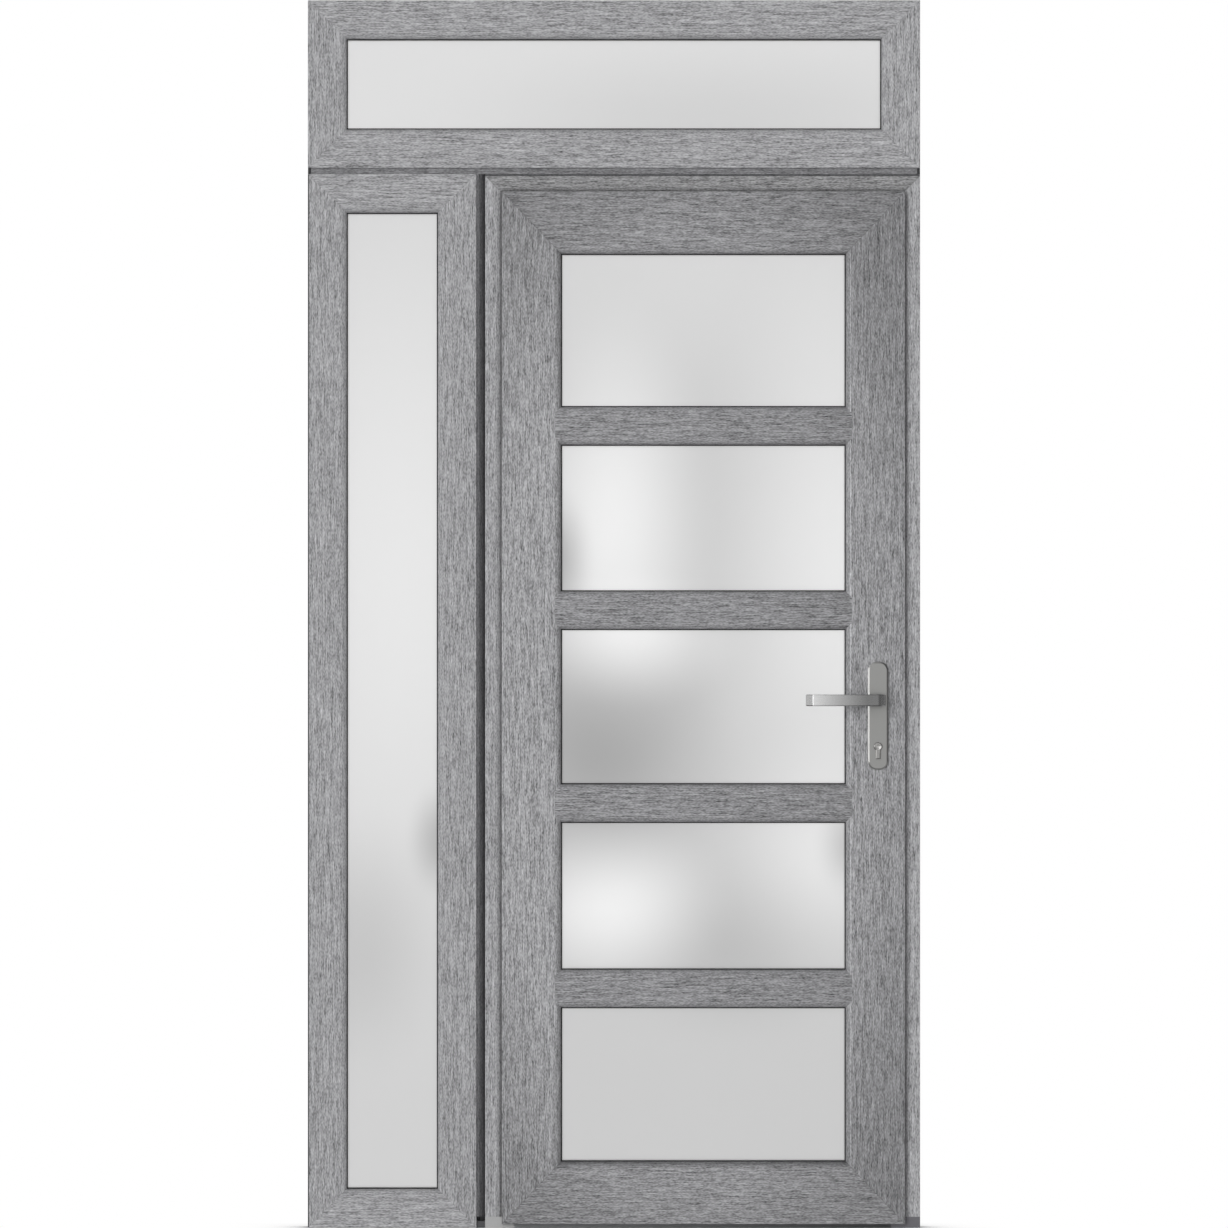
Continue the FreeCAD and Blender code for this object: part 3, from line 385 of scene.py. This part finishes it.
# The fourth pane is bright at the left and upper right, with a dull patch low between them.
low_left_glow = (0.0, 0.64, 0.26, 0.2, 0.3)
low_shade = (0.24, 0.56, 0.3, 0.22, -0.1)
low_right_glow = (0.42, 0.72, 0.28, 0.3, 0.16)
low_edge_shade = (0.47, 0.76, 0.08, 0.12, -0.25)
side_clouds = [side_glow, side_low_shade, side_edge_shade]
leaf_clouds = [
    top_pane_glow, hinge_side_glow, hinge_edge_shade, lock_side_glow, middle_edge_glow,
    middle_pane_shade, low_left_glow, low_shade, low_right_glow, low_edge_shade,
]
dress(etched_glass("etched_glass_top", 0.77, [top_shade]), "transom_glass")
dress(etched_glass("etched_glass_side", 0.68, side_clouds), "sidelight_glass")
dress(etched_glass("etched_glass_leaf", 0.64, leaf_clouds), "leaf_glass")

# Lock: a long steel faceplate in the leaf's edge, three strike plates let into the jamb, and a cylinder.
# Satin steel held by countersunk screws; the cylinder is nickel-plated brass with a turning plug.
lock_steel = drawn_metal("satin_lock_steel", "#bcbdbf", "z", 0.38)
dress(lock_steel, "lock_faceplate", "strike_plates", "spindle")
nickel = drawn_metal("nickel_plated_brass", "#a9a8a6", "z", 0.17, streak=0.06)
polished = drawn_metal("polished_nickel_plug", "#e8e7e5", "z", 0.17, streak=0.06)
dress(nickel, "lock_cylinder")


def disc(count):
    """A square grid pressed into a disc of radius 1, each line drawn in by how far off the middle it lies."""
    u, v = np.meshgrid(np.linspace(-1, 1, count), np.linspace(-1, 1, count), indexing="ij")
    return u * np.sqrt(1 - v**2 / 2), v * np.sqrt(1 - u**2 / 2)


def set_on(spot, out, x, y, height):
    """Points put at a spot on an upright face: x level, y up, height along the way out of the face."""
    out = np.array(out, dtype=float)
    up = np.array([0.0, 0.0, 1.0])
    level = np.cross(up, out)
    return np.array(spot) + x[..., None] * level + y[..., None] * up + height[..., None] * out


def slot_cut(a, b, half_width, half_length):
    """1 inside a straight slot and 0 outside, with sloped walls a tenth of the disc's radius wide."""
    across = np.clip((half_width - abs(a)) / 0.1 + 0.5, 0, 1)
    endways = np.clip((half_length - abs(b)) / 0.1 + 0.5, 0, 1)
    return across * endways


def screw_heads(spots, out, radius):
    """Raised countersunk heads: a shallow dome less a cross-shaped driver recess, each turned its own way."""
    rise, sunk, recess = 0.0006, 0.00015, 0.0012
    arm_width, arm_length = 0.14, 0.55
    x, y = disc(21)
    heads = []
    for count, spot in enumerate(spots):
        turn = 0.9 * count + 0.3
        a, b = x * np.cos(turn) + y * np.sin(turn), y * np.cos(turn) - x * np.sin(turn)
        cross = np.maximum(slot_cut(a, b, arm_width, arm_length), slot_cut(b, a, arm_width, arm_length))
        dome = rise * (1 - x**2 - y**2) - sunk
        heads.append(set_on(spot, out, radius * x, radius * y, dome - recess * cross))
    return heads


zinc = drawn_metal("zinc_plated_screws", "#c6c7cb", "x", 0.32)
faceplate_x, strike_x, lock_y = 0.558, 0.574, -0.013
lock_radius = 0.0036
faceplate_spots = [(faceplate_x, lock_y, z) for z in (0.290, 0.680, 0.880, 1.200, 1.480, 1.776)]
strike_spots = [(strike_x, lock_y, z + side * 0.072) for z in (0.408, 1.048, 1.658) for side in (-1, 1)]
faceplate_heads = screw_heads(faceplate_spots, (1, 0, 0), lock_radius)
strike_heads = screw_heads(strike_spots, (-1, 0, 0), lock_radius)
grid_piece("faceplate_screws", faceplate_heads, zinc, "leaf", back=0.0008)
grid_piece("strike_screws", strike_heads, zinc, "frame", back=0.0008)
# The cylinder's ends follow its outline, a barrel over a web, with a rounded rim; the plug is dished.
barrel, web, tail, rim, plug_radius = 0.0084, 0.0049, 0.0244, 0.0018, 0.0063
dish_depth, key_depth, key_width, key_length = 0.0018, 0.0022, 0.17, 0.66
cylinder_x, cylinder_y, cylinder_z, half_cylinder = 0.524, -0.020, 0.956, 0.0475
joint = np.arctan2(-np.sqrt(barrel**2 - web**2), web)
around = np.linspace(joint, np.pi - joint, 49)
wall = np.linspace(barrel * np.sin(joint), -tail, 9)
sill = np.linspace(-web, web, 7)
outline_x = np.concatenate([barrel * np.cos(around), 0 * wall[1:] - web, sill[1:], 0 * wall[1:] + web])
outline_y = np.concatenate([barrel * np.sin(around), wall[1:], 0 * sill[1:] - tail, wall[-2::-1]])
# The outline is closed, so its direction at the seam is taken from the points on both sides of it.
ahead_x, ahead_y = (
    np.gradient(np.concatenate([line[-2:-1], line, line[1:2]]))[1:-1] for line in (outline_x, outline_y)
)
length = np.hypot(ahead_x, ahead_y)
bend = np.linspace(0, np.pi / 2, 7)
inset = rim * (1 - np.cos(bend))
nose_x = outline_x[:, None] - (ahead_y / length)[:, None] * inset
nose_y = outline_y[:, None] + (ahead_x / length)[:, None] * inset
nose_height = np.broadcast_to(rim * np.sin(bend), nose_x.shape)
inner = np.arctan2(nose_y[:, -1:], nose_x[:, -1:])
nose_x = np.hstack([nose_x, plug_radius * np.cos(inner)])
nose_y = np.hstack([nose_y, plug_radius * np.sin(inner)])
nose_height = np.hstack([nose_height, nose_height[:, -1:]])
x, y = disc(41)
dish = dish_depth * (x**2 + y**2 - 1) - key_depth * slot_cut(x, y, key_width, key_length)
noses, plugs = [], []
for side in (-1, 1):
    spot, out = (cylinder_x, side * half_cylinder + cylinder_y, cylinder_z), (0, side, 0)
    noses.append(set_on(spot, out, nose_x, nose_y, nose_height))
    plugs.append(set_on(spot, out, plug_radius * x, plug_radius * y, rim + dish))
grid_piece("cylinder_noses", noses, nickel, "leaf", back=0.0006)
grid_piece("cylinder_plugs", plugs, polished, "leaf", back=0.0006)

# Handle: a lever on a long backplate on each side of the leaf, joined by a square spindle.
# Satin stainless steel; two screws through the inside plate pull both plates to the leaf.
satin_plate = drawn_metal("satin_stainless_plate", "#b2b2b0", "z", 0.34, streak=0.05)
# Painted reflection and shade: the grip is painted bright at the tip end and darker towards its root, the
# bent tip is painted darker, and the root has a painted shaded step, a painted highlight and a painted dark
# end at its bend.
grip_painted_reflection = (0.394, 0.502, 1.27, 0.665)
tip_painted_shade = (0.3926, 0.3944, 0.36, 1.0)
root_painted_light = [(0.5232, 0.5242, 1.0, 0.68), (0.5272, 0.5350, 1.0, 3.9), (0.5358, 0.5372, 1.0, 0.16)]
lever_painted_light = [grip_painted_reflection, grip_painted_reflection, tip_painted_shade, *root_painted_light]
satin_lever = drawn_metal("satin_stainless_lever", "#c8c8c8", "x", 0.28, lever_painted_light, 0.04)
dress(satin_plate, "outside_backplate", "inside_backplate")
dress(satin_lever, "outside_lever", "inside_lever")
# The milky glass hides the lever that stands behind it.
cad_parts["inside_lever"].visible_transmission = False
plate_spots = [(0.524, 0.024, z) for z in (0.920, 1.108)]
plate_heads = screw_heads(plate_spots, (0, 1, 0), 0.004)
grid_piece("backplate_screws", plate_heads, zinc, "leaf", back=0.0008)

# Hinges: three concealed hinges, zinc castings painted silver, each with one curved arm.
# The halves are screwed into the jamb and into the edge of the stile.
casting = drawn_metal("silver_zinc_casting", "#b4b5b7", "z", 0.45)
dress(casting, "hinge_frame_halves", "hinge_leaf_halves", "hinge_arms")
hinge_radius = 0.0036
screw_levels = [z + side * 0.051 for z in (0.253, 1.033, 1.813) for side in (-1, 1)]
jamb_heads = screw_heads([(-0.222, -0.019, z) for z in screw_levels], (1, 0, 0), hinge_radius)
stile_heads = screw_heads([(-0.203, -0.033, z) for z in screw_levels], (-1, 0, 0), hinge_radius)
grid_piece("hinge_jamb_screws", jamb_heads, zinc, "frame", back=0.0008)
grid_piece("hinge_stile_screws", stile_heads, zinc, "leaf", back=0.0008)

# Floor and studio: a plain white floor that keeps the shadow close to the door and turns into the white
# background further out, and even light all round.
reach = 9.0
floor_corners = [(-reach, -reach, 0), (reach, -reach, 0), (reach, reach, 0), (-reach, reach, 0)]
floor_mesh = bpy.data.meshes.new("floor")
floor_mesh.from_pydata(floor_corners, [], [(0, 1, 2, 3)])
floor = bpy.data.objects.new("floor", floor_mesh)
bpy.context.scene.collection.objects.link(floor)


def seen_shares(tree):
    """1 for what the camera sees straight or through glass, and 1 for what it sees in a reflection."""
    path = add(tree, "LightPath").outputs
    most = {"operation": "MAXIMUM"}
    straight = add(tree, "Math", most, i0=path["Is Camera Ray"], i1=path["Is Transmission Ray"])
    less = {"operation": "SUBTRACT", "use_clamp": True}
    mirrored = add(tree, "Math", less, i0=path["Is Glossy Ray"], i1=straight)
    return straight, mirrored


paint, tree, _ = new_material("white_floor_paint")
# What stands within 0.3 m takes light from the floor, so the shadow follows the leaf as it opens.
near = add(tree, "AmbientOcclusion", Distance=0.3).outputs["AO"]
soft = {"interpolation_type": "SMOOTHSTEP"}
clear = add(tree, "MapRange", soft, Value=near, From_Min=0.45, From_Max=0.95)
straight, mirrored = seen_shares(tree)
seen = add(tree, "Math", {"operation": "ADD"}, i0=straight, i1=mirrored)
share = add(tree, "Math", {"operation": "MULTIPLY"}, i0=seen, i1=clear)
level = add(tree, "MapRange", Value=mirrored, To_Min=1.0, To_Max=0.4)
matt = add(tree, "BsdfDiffuse", Color=srgb("#f2f2f2"))
glow = add(tree, "Emission", Color=(1, 1, 1, 1), Strength=level)
add(tree, "OutputMaterial", Surface=add(tree, "MixShader", i0=share, i1=matt, i2=glow))
floor_mesh.materials.append(paint)

world = bpy.data.worlds.new("studio")
bpy.context.scene.world = world
world.use_nodes = True
tree = world.node_tree
tree.nodes.clear()
straight, mirrored = seen_shares(tree)
even = add(tree, "MapRange", Value=straight, To_Min=0.14, To_Max=1.0)
# Metal mirrors a room that is white at the left and greyer to the right, above and below.
way = add(tree, "SeparateXYZ", Vector=add(tree, "TexCoord").outputs["Generated"]).outputs
lift = add(tree, "Math", {"operation": "ABSOLUTE"}, i0=way["Z"])
turn = add(tree, "Math", {"operation": "MULTIPLY_ADD"}, i0=lift, i1=0.6, i2=way["X"])
room = add(tree, "MapRange", Value=turn, From_Min=-0.2, From_Max=1.1, To_Min=1.0, To_Max=0.1)
light = add(tree, "Mix", i0=mirrored, i2=even, i3=room)
sky = add(tree, "Background", Color=(1, 1, 1, 1), Strength=light)
add(tree, "OutputWorld", Surface=sky)

# Lamps: where each stands, as an azimuth from straight in front (minus is left) and a height angle, its
# strength, how wide it is in degrees, and whether metal and glass show it.
# The low ones are wide enough to reach below the floor's level, so the floor casts no shadow.
floor.visible_shadow = False
for name, azimuth, height, strength, spread, shown in (
    ("front", -14, 4, 2.26, 44, False),
    ("left", -80, 4, 0.5, 30, True),
    ("right", 84, 8, 0.9, 30, False),
    ("top", 0, 80, 0.1, 20, False),
    ("back", 160, 10, 2.0, 44, False),
):
    lamp_data = bpy.data.lights.new(name, "SUN")
    lamp_data.energy = strength
    lamp_data.angle = np.radians(spread)
    lamp = bpy.data.objects.new(name, lamp_data)
    turn, lift = np.radians(azimuth), np.radians(height)
    stand = Vector((np.sin(turn) * np.cos(lift), -np.cos(turn) * np.cos(lift), np.sin(lift)))
    lamp.rotation_euler = (-stand).to_track_quat("-Z", "Y").to_euler()
    lamp.visible_glossy = shown
    lamp.visible_transmission = shown
    bpy.context.scene.collection.objects.link(lamp)

# Camera: straight in front at the photograph's angle, at half the door's height.
# It stands far off with a long lens, so that the lines stay near parallel.
camera_data = bpy.data.cameras.new("camera")
camera = bpy.data.objects.new("camera", camera_data)
bpy.context.scene.collection.objects.link(camera)
camera_data.lens = 400
camera_data.sensor_width = 36
picture_plane = -0.045
door_height = cad_box[1].z - cad_box[0].z
distance = door_height / 2 / (camera_data.sensor_width / 2 / camera_data.lens)
camera.location = (0, picture_plane - distance, door_height / 2)
camera.rotation_euler = (np.pi / 2, 0, 0)
camera_data.clip_end = 200
bpy.context.scene.camera = camera
bpy.context.scene.view_settings.view_transform = "Standard"
